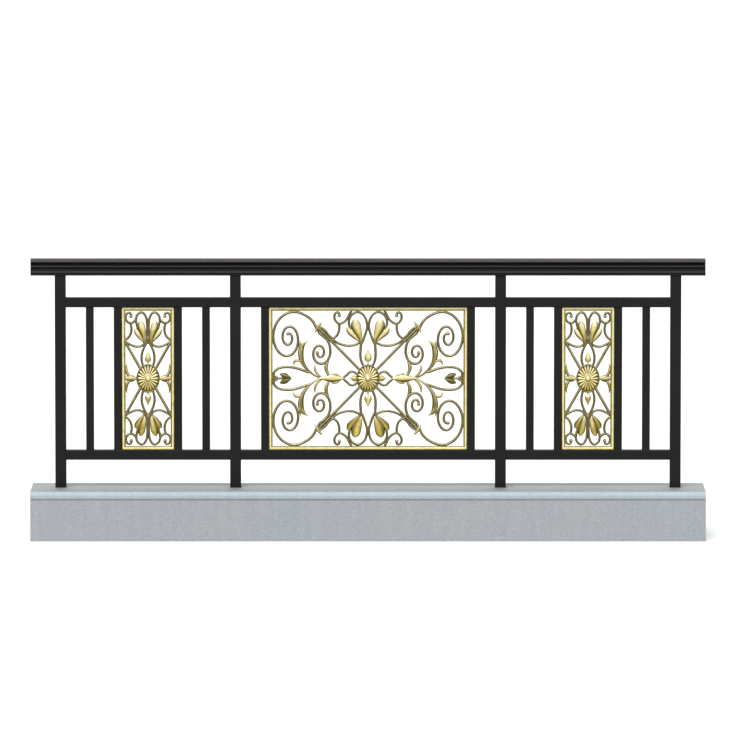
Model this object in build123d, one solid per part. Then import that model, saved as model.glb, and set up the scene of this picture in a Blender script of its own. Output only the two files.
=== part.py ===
from build123d import *
import math
import os

# Boundary grille: black aluminium tube frame with three gilt cast panels, on a stone plinth.
# X runs along the grille, Y is its depth with the street side at -Y, and Z is up.
# The origin is at ground level, under the middle of the grille. All sizes are in millimetres.

# Frame layout
CENTRE_BAY = 1212.0           # post centre to post centre
SIDE_BAY = 800.0
HANDRAIL_OVERHANG = 110.0     # from the end post's outer face to the handrail's end
POST_HEIGHT = 975.0           # from the coping's top to the handrail's underside
UPPER_RAIL_DROP = 102.0       # from the handrail's underside to the upper rail's top
LOWER_RAIL_RISE = 127.0       # from the coping's top to the lower rail's underside

# Tube sections
POST_SIZE = 50.0
POST_WALL = 2.5
RAIL_HEIGHT = 45.0
RAIL_DEPTH = 40.0
RAIL_WALL = 2.0
PICKET_WIDTH = 36.0
PICKET_DEPTH = 34.0
PICKET_WALL = 1.8

# Stone plinth
WALL_DEPTH = 350.0
WALL_HEIGHT = 190.0
COPING_THICKNESS = 39.0
COPING_OVERHANG = 5.0         # how far the coping stands out from the wall on each side
COPING_NOSING = 24.0          # radius of the coping's upper long edges
COPING_UNDERCUT = 8.0         # radius of its lower long edges
SOCKET_DEPTH = 81.0           # how far the post pockets go down into the wall
SOCKET_CLEARANCE = 0.5        # grout gap on each side of a post

# Handrail mouldings, measured up from the handrail's underside
HANDRAIL_WIDTH = 76.0
HANDRAIL_HEIGHT = 77.0
HANDRAIL_WALL = 2.5
CROWN_DROP = 14.0             # from the crown's middle down to its edge
CROWN_BEVEL = 2.0             # height of the bevel under the crown's edge
COVE_TOP = 57.0
BEAD_TOP = 45.0
BEAD_SIZE = 12.0
OGEE_TOP = 26.0
MOULDING_DEPTH = 12.0         # from the crown's edge in to the waist
LIP_INSET = 3.0               # how far the cove and the foot end short of the crown's edge
LIP_HEIGHT = 3.0              # upright edge of the foot, under the ogee
CARRIER_WIDTH = 62.0
CARRIER_HEIGHT = 12.0
CARRIER_UPSTAND = 16.0        # how far the carrier's two webs rise inside the cover
CARRIER_WEB_SPACING = 36.0
MOULDING_FIT = 0.3            # gap between the carrier's webs and the cover's lips

# Cast panels
SIDE_PANEL_WIDTH = 240.0
PANEL_FIT = 0.3               # gap between a cast panel and the tubes round it
BORDER_WIDTH = 17.0
BORDER_BAND = 12.0            # the thick outer part of the border
BORDER_DEPTH = 18.0
WEB_DEPTH = 11.0              # depth of scrolls and of the border's inner bead
SCROLL_WIDTH = 11.0
FINE_WIDTH = 10.0
END_BALL = 6.5                # radius of the knob that ends a scroll
RELIEF = 5.0                  # how far leaves and buds stand proud of the scrolls
RELIEF_TOP = 0.5              # share of its outline left at the top of a leaf's bevel
ROSETTE_RELIEF = 9.0
ROSETTE_TOP = 0.4
PETALS = 18
PETAL_NOTCH = 0.86            # radius between two petals, as a share of the radius at their tips
BUTTON_RADIUS = 11.0
BUTTON_HEIGHT = 14.0          # above the scrolls
FLATTEST_BULGE = 3.0          # a step that bows less than this is drawn straight
SPIRAL_STEP = 36.0            # degrees from point to point of a spiral

# Heights and places that follow from the sizes above
STANDING = (Align.CENTER, Align.CENTER, Align.MIN)
COPING_TOP = WALL_HEIGHT + COPING_THICKNESS
INNER_POST_X = CENTRE_BAY / 2
END_POST_X = INNER_POST_X + SIDE_BAY
HANDRAIL_LENGTH = 2 * (END_POST_X + POST_SIZE / 2 + HANDRAIL_OVERHANG)
HANDRAIL_Z = COPING_TOP + POST_HEIGHT
UPPER_RAIL_Z = HANDRAIL_Z - UPPER_RAIL_DROP - RAIL_HEIGHT
LOWER_RAIL_Z = COPING_TOP + LOWER_RAIL_RISE
FIELD_BOTTOM = LOWER_RAIL_Z + RAIL_HEIGHT
FIELD_HEIGHT = UPPER_RAIL_Z - FIELD_BOTTOM
SIDE_BAY_X = INNER_POST_X + SIDE_BAY / 2
PICKET_GAP = (SIDE_BAY - POST_SIZE - SIDE_PANEL_WIDTH - 4 * PICKET_WIDTH) / 4
CENTRE_PANEL_WIDTH = CENTRE_BAY - POST_SIZE - 2 * PICKET_GAP - 2 * PICKET_WIDTH


def tube(width, depth, length, wall):
    """A square or oblong tube standing on the XY plane."""
    outside = Rectangle(width, depth)
    inside = Rectangle(width - 2 * wall, depth - 2 * wall)
    return extrude(outside - inside, length)


def upright(x, bottom, length, width, depth, wall):
    return Pos(x, 0, bottom) * tube(width, depth, length, wall)


def crossbar(x_start, x_end, bottom):
    """A rail lying along X between two posts."""
    lying = Rot(0, 90, 0) * tube(RAIL_HEIGHT, RAIL_DEPTH, x_end - x_start, RAIL_WALL)
    return Pos(x_start, 0, bottom + RAIL_HEIGHT / 2) * lying


# Stone

def post_pockets(bottom, height):
    """The square pockets that the four posts stand in."""
    size = POST_SIZE + 2 * SOCKET_CLEARANCE
    pocket = Box(size, size, height, align=STANDING)
    places = (-END_POST_X, -INNER_POST_X, INNER_POST_X, END_POST_X)
    return [Pos(x, 0, bottom) * pocket for x in places]


def plinth_wall():
    block = Box(HANDRAIL_LENGTH, WALL_DEPTH, WALL_HEIGHT, align=STANDING)
    return block - post_pockets(WALL_HEIGHT - SOCKET_DEPTH, SOCKET_DEPTH)


def plinth_coping():
    depth = WALL_DEPTH + 2 * COPING_OVERHANG
    slab = Pos(0, 0, WALL_HEIGHT) * Box(HANDRAIL_LENGTH, depth, COPING_THICKNESS, align=STANDING)
    lower_edges = slab.edges().filter_by(Axis.X).group_by(Axis.Z)[0]
    slab = fillet(lower_edges, COPING_UNDERCUT)
    upper_edges = slab.edges().filter_by(Axis.X).group_by(Axis.Z)[-1]
    return fillet(upper_edges, COPING_NOSING) - post_pockets(WALL_HEIGHT, COPING_THICKNESS)


# Handrail

def along_handrail(profile):
    """Extrudes a profile drawn in Y and Z over the handrail's whole length."""
    solid = extrude(profile, HANDRAIL_LENGTH, dir=(1, 0, 0))
    return Pos(-HANDRAIL_LENGTH / 2, 0, HANDRAIL_Z) * solid


def cover_outside():
    """Half of the cover's moulded outside, from the crown down: crown, cove, bead and ogee foot."""
    half = HANDRAIL_WIDTH / 2
    waist = half - MOULDING_DEPTH
    lip = half - LIP_INSET
    top = HANDRAIL_HEIGHT
    bead_bottom = BEAD_TOP - BEAD_SIZE
    foot = CARRIER_HEIGHT
    return make_face([
        TangentArc((0, top), (half, top - CROWN_DROP), tangent=(1, 0)),
        Line((half, top - CROWN_DROP), (half, COVE_TOP + CROWN_BEVEL)),
        Line((half, COVE_TOP + CROWN_BEVEL), (lip, COVE_TOP)),
        TangentArc((waist, BEAD_TOP), (lip, COVE_TOP), tangent=(0, 1)),
        TangentArc((waist, BEAD_TOP), (waist, bead_bottom), tangent=(1, 0)),
        Line((waist, bead_bottom), (waist, OGEE_TOP)),
        TangentArc((waist, OGEE_TOP), (lip, foot + LIP_HEIGHT), tangent=(0, -1)),
        Line((lip, foot + LIP_HEIGHT), (lip, foot)),
        Line((lip, foot), (0, foot)),
        Line((0, foot), (0, top)),
    ])


def cover_inside():
    """Half of the cover's hollow, one wall thickness inside the mouldings."""
    half = HANDRAIL_WIDTH / 2 - HANDRAIL_WALL
    waist = half - MOULDING_DEPTH
    lip = half - 2 * LIP_INSET
    top = HANDRAIL_HEIGHT - HANDRAIL_WALL
    shoulder = COVE_TOP + HANDRAIL_WALL
    foot = CARRIER_HEIGHT + HANDRAIL_WALL
    return make_face([
        TangentArc((0, top), (half, shoulder), tangent=(1, 0)),
        Line((half, shoulder), (waist, COVE_TOP - HANDRAIL_WALL)),
        Line((waist, COVE_TOP - HANDRAIL_WALL), (waist, OGEE_TOP - HANDRAIL_WALL)),
        Line((waist, OGEE_TOP - HANDRAIL_WALL), (lip, foot)),
        Line((lip, foot), (0, foot)),
        Line((0, foot), (0, top)),
    ])


def handrail_cover():
    half_wall = cover_outside() - cover_inside()
    slot_width = CARRIER_WEB_SPACING + 2 * HANDRAIL_WALL + 2 * MOULDING_FIT
    slot = Pos(0, CARRIER_HEIGHT + HANDRAIL_WALL / 2) * Rectangle(slot_width, 2 * HANDRAIL_WALL)
    wall = half_wall + mirror(half_wall, about=Plane.YZ)
    return along_handrail(Plane.YZ * (wall - slot))


def handrail_carrier():
    base = Pos(0, CARRIER_HEIGHT / 2) * Rectangle(CARRIER_WIDTH, CARRIER_HEIGHT)
    hollow = Pos(0, CARRIER_HEIGHT / 2) * Rectangle(
        CARRIER_WIDTH - 2 * HANDRAIL_WALL, CARRIER_HEIGHT - 2 * HANDRAIL_WALL
    )
    web = Rectangle(HANDRAIL_WALL, CARRIER_UPSTAND, align=(Align.CENTER, Align.MIN))
    webs = [Pos(side * CARRIER_WEB_SPACING / 2, CARRIER_HEIGHT) * web for side in (-1, 1)]
    return along_handrail(Plane.YZ * (base - hollow + webs))


# Cast panels. A panel is drawn flat, with its middle at the origin, and stood up at the end.
# One quarter is drawn on a grid of squares that runs from the panel's middle to its border,
# and mirrored both ways.

def face_up(face):
    """The face with its normal along +Z, so that faces drawn or mirrored either way join cleanly."""
    return face if face.normal_at().Z > 0 else -face


def mirrored(face, plane):
    return face_up(mirror(face, about=plane).face())


def headings(points):
    """The direction of a smooth line at each of its points."""
    steps = [b - a for a, b in zip(points, points[1:])]
    middle = []
    for before, after in zip(steps, steps[1:]):
        lean = before.normalized() / before.length + after.normalized() / after.length
        middle.append(lean.normalized())
    first = (steps[0].normalized() * 2 - middle[0]).normalized()
    last = (steps[-1].normalized() * 2 - middle[-1]).normalized()
    return [first, *middle, last]


def smooth(points):
    """Arcs through the points, one for each step."""
    if len(points) == 2:
        return [Line(*points)]
    directions = headings(points)
    edges = []
    for i, (start, end) in enumerate(zip(points, points[1:])):
        bulge = (directions[i] - directions[i + 1]) * ((end - start).length / 8)
        if bulge.length < FLATTEST_BULGE:
            edges.append(Line(start, end))
        else:
            edges.append(ThreePointArc(start, (start + end) / 2 + bulge, end))
    return edges


def sides_of(points, widths):
    """Points down the two sides of a bar that follows the given points."""
    left, right = [], []
    for point, heading, width in zip(points, headings(points), widths):
        aside = Vector(-heading.Y, heading.X) * (width / 2)
        left.append(point + aside)
        right.append(point - aside)
    return left, right


def closed_outline(*runs):
    """A flat shape bounded by smooth runs that meet end to end."""
    return face_up(make_face([edge for run in runs for edge in smooth(run)]).face())


def bar(points, widths):
    """A flat bar along a smooth line, with one width or a width at each point."""
    if not isinstance(widths, list):
        widths = [widths] * len(points)
    left, right = sides_of(points, widths)
    right.reverse()
    return closed_outline(left, [left[-1], right[0]], right, [right[-1], left[0]])


def ring(points, width):
    """A bar bent right round on itself, whose two ends meet in a crotch."""
    outer, inner = sides_of(points, [width] * len(points))
    inner = inner[1:-1]
    outside = closed_outline(outer, [outer[-1], outer[0]])
    return face_up((outside - closed_outline(inner, [inner[-1], inner[0]])).face())


def volute(middle, radii, start, half_turns, shrink):
    """Grid points on an oval spiral. Its radius is multiplied by shrink in each half turn."""
    turn = math.copysign(SPIRAL_STEP, half_turns)
    count = round(abs(half_turns) * 180 / SPIRAL_STEP)
    points = []
    for i in range(count + 1):
        angle = math.radians(start + i * turn)
        size = shrink ** (i * SPIRAL_STEP / 180)
        x = middle[0] + radii[0] * size * math.cos(angle)
        z = middle[1] + radii[1] * size * math.sin(angle)
        points.append((x, z))
    return points


class Grid:
    """The drawing grid of one panel: so many squares from its middle to the inside of its border."""

    def __init__(self, width, height, squares_x, squares_z):
        self.width = width
        self.height = height
        self.square_x = (width / 2 - BORDER_WIDTH) / squares_x
        self.square_z = (height / 2 - BORDER_WIDTH) / squares_z

    def at(self, x, z):
        return Vector(x * self.square_x, z * self.square_z)

    def line(self, *points):
        return [self.at(x, z) for x, z in points]

    def ball(self, x, z, radius=END_BALL):
        place = self.at(x, z)
        return (Pos(place.X, place.Y) * Circle(radius)).face()


def four_ways(faces):
    """A quarter's faces and their three mirror images."""
    half = faces + [mirrored(face, Plane.YZ) for face in faces]
    return half + [mirrored(face, Plane.XZ) for face in half]


def bevelled(outline, share, height):
    """A flat-sided outline's bevelled pad: it rises by height and shrinks to a share of its size."""
    middle = outline.center()
    at_middle = Pos(-middle.X, -middle.Y) * outline
    top = Pos(middle.X, middle.Y, height) * scale(at_middle, by=share)
    return Pos(0, 0, WEB_DEPTH / 2) * loft([outline, top], ruled=True)


def both_sides(pad):
    return [pad, mirror(pad, about=Plane.XY)]


def facets(points):
    """A flat shape with straight sides."""
    return face_up(make_face(Polyline(*points, close=True)).face())


def rosette_outline(radius_x, radius_z):
    """An oval outline with a point at the tip of each petal."""
    points = []
    for i in range(2 * PETALS):
        angle = i * math.pi / PETALS
        reach = PETAL_NOTCH if i % 2 else 1
        points.append((radius_x * reach * math.cos(angle), radius_z * reach * math.sin(angle)))
    return facets(points)


def rosette(outline):
    """A rosette on one side of the casting: petals with grooves between them that rise to a button."""
    petals = bevelled(outline, ROSETTE_TOP, ROSETTE_RELIEF)
    button = Cylinder(BUTTON_RADIUS, BUTTON_HEIGHT, align=STANDING)
    return petals + Pos(0, 0, WEB_DEPTH / 2) * button


def border(grid):
    """The flat border's thick outer band."""
    outer = Rectangle(grid.width, grid.height)
    inner = Rectangle(grid.width - 2 * BORDER_BAND, grid.height - 2 * BORDER_BAND)
    return extrude(outer - inner, BORDER_DEPTH / 2, both=True)


def border_web(grid):
    """The whole border at the depth of the scrolls."""
    outer = Rectangle(grid.width, grid.height)
    return outer - Rectangle(grid.width - 2 * BORDER_WIDTH, grid.height - 2 * BORDER_WIDTH)


def cast_panel(grid, flat_faces, pads, rosette_radii):
    """Joins a panel's flat scrollwork, raised leaves, rosette and border into one casting."""
    outline = rosette_outline(*rosette_radii)
    web = Sketch() + border_web(grid) + [outline, *flat_faces]
    casting = extrude(web, WEB_DEPTH / 2, both=True)
    front = [bevelled(face, RELIEF_TOP, RELIEF) for face in pads]
    relief = [pad for piece in [*front, rosette(outline)] for pad in both_sides(piece)]
    return casting + [border(grid), *relief]


def centre_panel():
    width = CENTRE_PANEL_WIDTH - 2 * PANEL_FIT
    height = FIELD_HEIGHT - 2 * PANEL_FIT
    grid = Grid(width, height, squares_x=96.5, squares_z=68.3)
    corner_arm = [
        (52, 50.5), (56, 57.8), (64.4, 64.3), (74.4, 67.2), (83, 65.2), (90.5, 58.8), (94.6, 50.5),
    ]
    corner_spiral = volute((80.4, 41), (15.4, 23), 0, -3.6, 0.62)
    small_arm = [(50.5, 50), (49.3, 46), (45, 42.4), (40.8, 38), (38.7, 32.8)]
    small_spiral = volute((48.7, 26), (10.5, 14), 180, 2.4, 0.63)
    stem = [
        (51, 51.5), (47.4, 51.2), (43.2, 48.1), (39, 43), (35.3, 40.9), (31.6, 43.3), (29.6, 47.5),
        (29, 52), (29.6, 56),
    ]
    hook = [
        (18.6, 65), (21.4, 59.6), (25, 56.2), (29, 55.4), (32.6, 58.1), (34, 62), (32.6, 66),
        (29.8, 66.4), (29, 63.6),
    ]
    swag = [(36, 39.6), (31.2, 36.2), (25, 33.8), (17.5, 33.1), (12, 34.3), (7.2, 37)]
    drop = [(4, 11.5), (6.9, 18), (7.6, 24), (7.4, 31), (6.9, 37.5)]
    loop = [
        (7.6, 35.5), (3.4, 40.4), (1.2, 47), (0.8, 54.3), (2.6, 61.6), (6, 65.4), (10.6, 67),
        (15.4, 65.2), (18.8, 61), (19.9, 56.5), (18.4, 51.4), (14.5, 46.2), (10, 41.4), (6.6, 36.5),
    ]
    leaf = [
        (47, 0.4), (50.6, 1.2), (55.4, 3.9), (60.6, 8.4), (64.8, 14.9), (66.7, 22), (67, 29),
        (64.6, 34.6), (59.8, 37.4),
    ]
    leaf_widths = [8, 8, 9, 11, 15, 22, 25, 16, 4]
    curl = [(65.6, 15.4), (69, 17.6), (72.2, 18.3), (74.4, 17), (75.3, 13.6)]
    curl_widths = [6, 8, 9, 8, 4]
    heart_loop = [
        (59, 6.2), (63, 7.2), (69.2, 9.4), (76, 11.1), (83, 11.5), (88.6, 10.8), (92.6, 8.8),
        (95.2, 5.4), (94.6, 2.2), (91.4, 0.8),
    ]
    leaflet = [(38.6, 1), (40.4, 4.4), (42, 8.4), (42.4, 12), (41.4, 15.4), (39.4, 18.2)]
    leaflet_widths = [8, 9, 12, 14, 12, 5]
    small_leaflet = [(47, 1), (50.4, 3.8), (52.8, 7), (53.9, 11), (53.5, 15)]
    small_leaflet_widths = [7, 8, 8, 7, 4]
    side_loop = [(25, -0.8), (21.6, 3.4), (17.4, 6.8), (14, 6.4), (10.8, 4)]
    flat = [
        bar(grid.line(*corner_arm, *corner_spiral), SCROLL_WIDTH),
        grid.ball(*corner_spiral[-1]),
        bar(grid.line(*small_arm, *small_spiral), SCROLL_WIDTH),
        grid.ball(*small_spiral[-1]),
        bar(grid.line(*stem), FINE_WIDTH),
        bar(grid.line(*hook), FINE_WIDTH),
        grid.ball(*hook[-1]),
        bar(grid.line(*swag), FINE_WIDTH),
        bar(grid.line(*drop), FINE_WIDTH),
        ring(grid.line(*loop), FINE_WIDTH),
        bar(grid.line((6, 6.2), (29, 29.6), (52, 53)), SCROLL_WIDTH),
        bar(grid.line((46.4, 57.2), (50.2, 52.6), (53.6, 46.6)), SCROLL_WIDTH),
        grid.ball(51, 51.5, radius=9),
        bar(grid.line(*leaf), leaf_widths),
        bar(grid.line(*curl), curl_widths),
        bar(grid.line(*heart_loop), SCROLL_WIDTH),
        bar(grid.line(*leaflet), leaflet_widths),
        bar(grid.line(*small_leaflet), small_leaflet_widths),
        bar(grid.line(*side_loop), FINE_WIDTH),
    ]
    bud = facets(grid.line(
        (7.2, 37.6), (5.4, 44.5), (7.6, 53), (12.4, 58.8), (16.6, 57), (18, 52.6), (21.6, 52.4),
        (20.6, 47.4), (14, 41.4),
    ))
    flame = facets(grid.line(
        (0, 28.8), (2, 24.6), (2.9, 20.6), (1.9, 16.4), (0, 12.5), (-1.9, 16.4), (-2.9, 20.6),
        (-2, 24.6),
    ))
    side_bud = facets(grid.line((18.6, 0), (15, 2.8), (10.5, 3), (10.5, -3), (15, -2.8)))
    sheath = facets(grid.line(
        (23.4, 0), (28, 1.9), (33.4, 3), (39, 2.2), (51.5, 1.2), (51.5, -1.2), (39, -2.2),
        (33.4, -3), (28, -1.9),
    ))
    heart = facets(grid.line(
        (76.2, 0), (80.4, 2.4), (84.6, 5.3), (88.4, 5), (89, 2.2), (87.4, 0), (89, -2.2),
        (88.4, -5), (84.6, -5.3), (80.4, -2.4),
    ))
    heart_stem = bar(grid.line((86.6, 0), (92, 0), (97, 0)), FINE_WIDTH)
    across = [flame, mirrored(flame, Plane.XZ)]
    beside = [side_bud, sheath, heart]
    beside += [mirrored(face, Plane.YZ) for face in beside]
    pads = four_ways([bud]) + across + beside
    rosette_radii = (11.8 * grid.square_x, 14.2 * grid.square_z)
    stems = [heart_stem, mirrored(heart_stem, Plane.YZ)]
    return cast_panel(grid, four_ways(flat) + stems + pads, pads, rosette_radii)


def side_panel():
    width = SIDE_PANEL_WIDTH - 2 * PANEL_FIT
    height = FIELD_HEIGHT - 2 * PANEL_FIT
    grid = Grid(width, height, squares_x=22.3, squares_z=68.3)
    corner_hook = [
        (11.4, 60.4), (15, 56.6), (18.6, 56.2), (21.6, 59), (22, 63), (20, 66), (17.2, 65.6),
        (16.8, 62.8),
    ]
    stem = [(17.8, 57), (16.4, 51), (17, 45.6), (19.4, 41.3), (23, 38.6)]
    swag = [(23, 37.6), (16.6, 33.7), (10.4, 32.1), (5.4, 33.6), (3, 36.6)]
    drop = [(5, 12.5), (6.3, 19), (6, 25), (3.8, 31.5), (0.4, 37.4)]
    loop = [
        (3.4, 35), (1, 41), (0.7, 48), (0.7, 57), (2.2, 63.4), (6.2, 66.8), (10.4, 64.6), (12, 60),
        (11.4, 55), (9.2, 48.6), (6.4, 42), (3.4, 35.4),
    ]
    side_leaf = [(15, 0.6), (18.4, 2.2), (20.6, 5.4), (21.6, 10), (20.9, 15.4)]
    side_leaf_widths = [9, 11, 12, 9, 4]
    flat = [
        bar(grid.line(*corner_hook), FINE_WIDTH),
        grid.ball(*corner_hook[-1]),
        bar(grid.line(*stem), FINE_WIDTH),
        bar(grid.line(*swag), FINE_WIDTH),
        bar(grid.line(*drop), FINE_WIDTH),
        ring(grid.line(*loop), FINE_WIDTH),
        bar(grid.line((7, 8.8), (15, 23.2), (23, 37.6)), SCROLL_WIDTH),
        bar(grid.line(*side_leaf), side_leaf_widths),
    ]
    bud = facets(grid.line(
        (3.6, 37.4), (2, 44), (3, 52), (6.4, 57.4), (9.6, 55), (10.4, 50.4), (13.4, 49.6),
        (12.4, 44.8), (8, 40.4),
    ))
    flame = facets(grid.line(
        (0, 26), (1.7, 23), (2.6, 19.6), (1.8, 16.2), (0, 12.8), (-1.8, 16.2), (-2.6, 19.6),
        (-1.7, 23),
    ))
    side_bud = facets(grid.line(
        (11, 0.9), (14, 2.6), (17.6, 2.6), (20, 1.4), (23, 1.2), (23, -1.2), (20, -1.4),
        (17.6, -2.6), (14, -2.6), (11, -0.9),
    ))
    across = [flame, mirrored(flame, Plane.XZ)]
    beside = [side_bud, mirrored(side_bud, Plane.YZ)]
    pads = four_ways([bud]) + across + beside
    rosette_radii = (11.7 * grid.square_x, 14.6 * grid.square_z)
    return cast_panel(grid, four_ways(flat) + pads, pads, rosette_radii)


def stood_up(panel, x):
    """Stands a flat panel upright in the middle of its field."""
    return Pos(x, 0, FIELD_BOTTOM + FIELD_HEIGHT / 2) * Rot(90, 0, 0) * panel


# The assembly, piece by piece

def frame_pieces():
    pieces = {
        "plinth_wall": plinth_wall(),
        "plinth_coping": plinth_coping(),
        "handrail_carrier": handrail_carrier(),
        "handrail_cover": handrail_cover(),
    }
    posts = {
        "post_left_end": -END_POST_X,
        "post_left_inner": -INNER_POST_X,
        "post_right_inner": INNER_POST_X,
        "post_right_end": END_POST_X,
    }
    foot = WALL_HEIGHT - SOCKET_DEPTH
    for name, x in posts.items():
        pieces[name] = upright(x, foot, HANDRAIL_Z - foot, POST_SIZE, POST_SIZE, POST_WALL)
    bays = {
        "left_bay": (-END_POST_X, -INNER_POST_X),
        "centre_bay": (-INNER_POST_X, INNER_POST_X),
        "right_bay": (INNER_POST_X, END_POST_X),
    }
    for bay, (left, right) in bays.items():
        ends = (left + POST_SIZE / 2, right - POST_SIZE / 2)
        pieces[f"upper_rail_{bay}"] = crossbar(*ends, UPPER_RAIL_Z)
        pieces[f"lower_rail_{bay}"] = crossbar(*ends, LOWER_RAIL_Z)
    stile = SIDE_PANEL_WIDTH / 2 + PICKET_WIDTH / 2
    picket = stile + PICKET_WIDTH + PICKET_GAP
    bars = {"stile_centre_bay_left": -CENTRE_PANEL_WIDTH / 2 - PICKET_WIDTH / 2}
    bars["stile_centre_bay_right"] = -bars["stile_centre_bay_left"]
    for bay, side in (("left_bay", -1), ("right_bay", 1)):
        bars[f"stile_{bay}_inner"] = side * (SIDE_BAY_X - stile)
        bars[f"stile_{bay}_outer"] = side * (SIDE_BAY_X + stile)
        bars[f"picket_{bay}_inner"] = side * (SIDE_BAY_X - picket)
        bars[f"picket_{bay}_outer"] = side * (SIDE_BAY_X + picket)
    for name, x in bars.items():
        pieces[name] = upright(x, FIELD_BOTTOM, FIELD_HEIGHT, PICKET_WIDTH, PICKET_DEPTH, PICKET_WALL)
    return pieces


def cast_pieces():
    side = side_panel()
    return {
        "ornament_left_bay": stood_up(side, -SIDE_BAY_X),
        "ornament_centre_bay": stood_up(centre_panel(), 0),
        "ornament_right_bay": stood_up(side, SIDE_BAY_X),
    }


os.makedirs("parts", exist_ok=True)
for name, piece in {**frame_pieces(), **cast_pieces()}.items():
    export_step(piece, f"parts/{name}.step")
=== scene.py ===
import math

import bmesh
import bpy
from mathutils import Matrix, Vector


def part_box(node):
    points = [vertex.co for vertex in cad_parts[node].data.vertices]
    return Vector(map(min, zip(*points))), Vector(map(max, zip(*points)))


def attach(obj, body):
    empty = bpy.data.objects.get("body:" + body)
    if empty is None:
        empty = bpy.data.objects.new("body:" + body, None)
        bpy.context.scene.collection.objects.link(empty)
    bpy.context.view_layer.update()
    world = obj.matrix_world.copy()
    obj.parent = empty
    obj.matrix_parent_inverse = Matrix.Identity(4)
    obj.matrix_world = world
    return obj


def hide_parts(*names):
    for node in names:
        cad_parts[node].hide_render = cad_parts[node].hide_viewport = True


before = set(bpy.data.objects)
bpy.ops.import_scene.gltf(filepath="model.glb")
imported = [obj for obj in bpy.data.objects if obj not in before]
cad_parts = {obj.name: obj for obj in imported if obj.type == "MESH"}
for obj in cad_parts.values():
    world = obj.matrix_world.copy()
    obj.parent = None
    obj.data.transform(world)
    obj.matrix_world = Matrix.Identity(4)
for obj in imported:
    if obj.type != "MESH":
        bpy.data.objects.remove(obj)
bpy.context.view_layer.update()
mm = 0.001
print("frame loaded with", len(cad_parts), "nodes")


# Node helpers

def feed(tree, socket, value):
    # links another node's output, or sets a plain value
    if isinstance(value, bpy.types.NodeSocket):
        tree.links.new(value, socket)
    elif value is not None:
        socket.default_value = value


def addNode(tree, kind, at, values=None, **settings):
    node = tree.nodes.new(kind)
    node.location = at
    for name, value in settings.items():
        setattr(node, name, value)
    for name, value in (values or {}).items():
        feed(tree, node.inputs[name], value)
    return node


def mathNode(tree, operation, at, first, second=None, third=None, clamp=False):
    values = {0: first, 1: second, 2: third}
    node = addNode(tree, "ShaderNodeMath", at, values, operation=operation, use_clamp=clamp)
    return node.outputs[0]


# Studio

studio = {
    "lens": 428.0,             # mm, long enough to flatten the view
    "sensor": 36.0,
    "clipReach": 4,            # how far the camera sees, in distances to the grille
    "tilt": 6.0,               # degrees that the camera looks down
    "pictureWidth": 3.366,     # metres across the picture at the grille
    "aimHeight": 0.777,
    "floorReach": 300.0,
    "floorDrop": 0.0005,       # keeps the floor just under the plinth
    "floorColour": (0.70, 0.70, 0.70, 1),
    "floorGlow": 0.32,         # share of the floor's white that shadows don't touch
    "skyColour": (0.93, 0.97, 1.0, 1),
    "skyLight": 0.30,
    "backdrop": (1, 1, 1, 1),
    "lampDistance": 6.0,
    "suns": {                  # bearing from the street side, height, strength, softness
        "keySun": (-20, 50, 2.7, 30),
        "topSun": (10, 82, 0.35, 60),
        "fillSun": (52, 26, 0.55, 90),
        "backSun": (172, 40, 0.8, 60),
    },
}


def whenSeen(tree, other, seen):
    # one shader where the camera, a reflection or glass looks straight at it, another for the light it gives
    path = addNode(tree, "ShaderNodeLightPath", (-700, 0))
    share = path.outputs["Is Camera Ray"]
    for i, ray in enumerate(("Is Glossy Ray", "Is Transmission Ray")):
        share = mathNode(tree, "MAXIMUM", (200 * i - 500, 0), share, path.outputs[ray])
    values = {0: share, 1: other.outputs[0], 2: seen.outputs[0]}
    return addNode(tree, "ShaderNodeMixShader", (100, 0), values).outputs[0]


def makeCamera():
    data = bpy.data.cameras.new("elevationCamera")
    data.lens = studio["lens"]
    data.sensor_width = studio["sensor"]
    away = studio["pictureWidth"] * studio["lens"] / studio["sensor"]
    data.clip_end = studio["clipReach"] * away
    tilt = math.radians(studio["tilt"])
    camera = bpy.data.objects.new("elevationCamera", data)
    camera.location = (0, -away * math.cos(tilt), studio["aimHeight"] + away * math.sin(tilt))
    camera.rotation_euler = (math.pi / 2 - tilt, 0, 0)
    bpy.context.scene.collection.objects.link(camera)
    bpy.context.scene.camera = camera


def makeFloor():
    reach = studio["floorReach"]
    corners = [(-reach, -reach), (reach, -reach), (reach, reach), (-reach, reach)]
    mesh = bpy.data.meshes.new("studioFloor")
    mesh.from_pydata([(x, y, -studio["floorDrop"]) for x, y in corners], [], [(0, 1, 2, 3)])
    material = bpy.data.materials.new("studioFloor")
    material.use_nodes = True
    tree = material.node_tree
    tree.nodes.clear()
    paint = addNode(tree, "ShaderNodeBsdfDiffuse", (-300, 200), {"Color": studio["floorColour"]})
    glow = addNode(tree, "ShaderNodeEmission", (-300, -200), {"Strength": studio["floorGlow"]})
    both = addNode(tree, "ShaderNodeAddShader", (-100, -100), {0: paint.outputs[0], 1: glow.outputs[0]})
    addNode(tree, "ShaderNodeOutputMaterial", (300, 0), {"Surface": whenSeen(tree, paint, both)})
    mesh.materials.append(material)
    floor = bpy.data.objects.new("studioFloor", mesh)
    bpy.context.scene.collection.objects.link(floor)


def makeWorld():
    world = bpy.data.worlds.new("studioSky")
    bpy.context.scene.world = world
    world.use_nodes = True
    tree = world.node_tree
    tree.nodes.clear()
    light = {"Color": studio["skyColour"], "Strength": studio["skyLight"]}
    sky = addNode(tree, "ShaderNodeBackground", (-100, 150), light)
    backdrop = {"Color": studio["backdrop"], "Strength": 1.0}
    white = addNode(tree, "ShaderNodeBackground", (-100, -150), backdrop)
    addNode(tree, "ShaderNodeOutputWorld", (300, 0), {"Surface": whenSeen(tree, sky, white)})


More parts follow.
